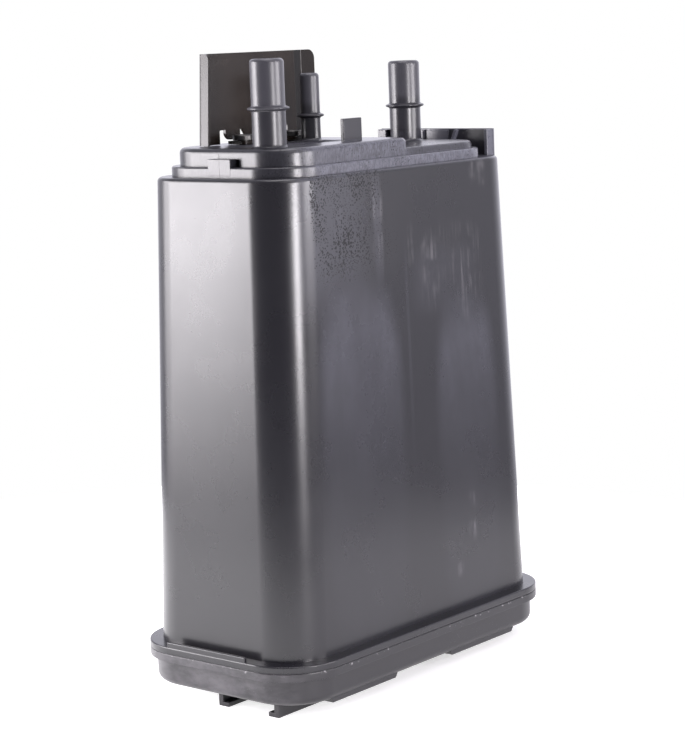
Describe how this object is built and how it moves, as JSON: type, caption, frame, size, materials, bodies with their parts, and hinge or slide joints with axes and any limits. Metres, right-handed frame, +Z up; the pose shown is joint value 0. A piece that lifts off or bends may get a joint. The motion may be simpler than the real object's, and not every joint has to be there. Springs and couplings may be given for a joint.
{
  "type": "charcoal canister",
  "caption": "Box-shaped fuel-vapour canister filled with activated carbon, with beaded hose stubs and a folded steel bracket on its stepped top and a welded cover with rails under it.",
  "frame": {"origin": "centre of the footprint on the plane that the rail feet stand on", "axes": "+Z up through the case towards the hose stubs, +X along the wide face away from the narrow side with the lip, +Y from the wide front to the bracket side"},
  "size_m": [0.2086, 0.111, 0.307],
  "materials": {
    "canister_case": "semi-gloss moulded black plastic",
    "bottom_cover": "semi-gloss moulded black plastic",
    "mounting_bracket": "satin black coating on sheet steel",
    "bracket_screw_1": "dark plated steel",
    "bracket_screw_2": "dark plated steel",
    "main_top_grid": "natural moulded plastic",
    "main_top_filter": "off-white fleece",
    "main_carbon_bed": "matt black pellets",
    "main_bottom_filter": "off-white fleece",
    "main_pressure_plate": "natural moulded plastic",
    "main_spring_1": "bright spring wire",
    "main_spring_2": "bright spring wire",
    "vent_top_grid": "natural moulded plastic",
    "vent_top_filter": "off-white fleece",
    "vent_carbon_bed": "matt black pellets",
    "vent_bottom_filter": "off-white fleece",
    "vent_pressure_plate": "natural moulded plastic",
    "vent_spring_1": "bright spring wire",
    "vent_spring_2": "bright spring wire"
  },
  "bodies": {
    "root": {"canister_case": "canister_case", "bottom_cover": "bottom_cover", "mounting_bracket": "mounting_bracket", "bracket_screw_1": "bracket_screw_1", "bracket_screw_2": "bracket_screw_2", "main_top_grid": "main_top_grid", "main_top_filter": "main_top_filter", "main_carbon_bed": "main_carbon_bed", "main_bottom_filter": "main_bottom_filter", "main_pressure_plate": "main_pressure_plate", "main_spring_1": "main_spring_1", "main_spring_2": "main_spring_2", "vent_top_grid": "vent_top_grid", "vent_top_filter": "vent_top_filter", "vent_carbon_bed": "vent_carbon_bed", "vent_bottom_filter": "vent_bottom_filter", "vent_pressure_plate": "vent_pressure_plate", "vent_spring_1": "vent_spring_1", "vent_spring_2": "vent_spring_2"}
  },
  "joints": []
}
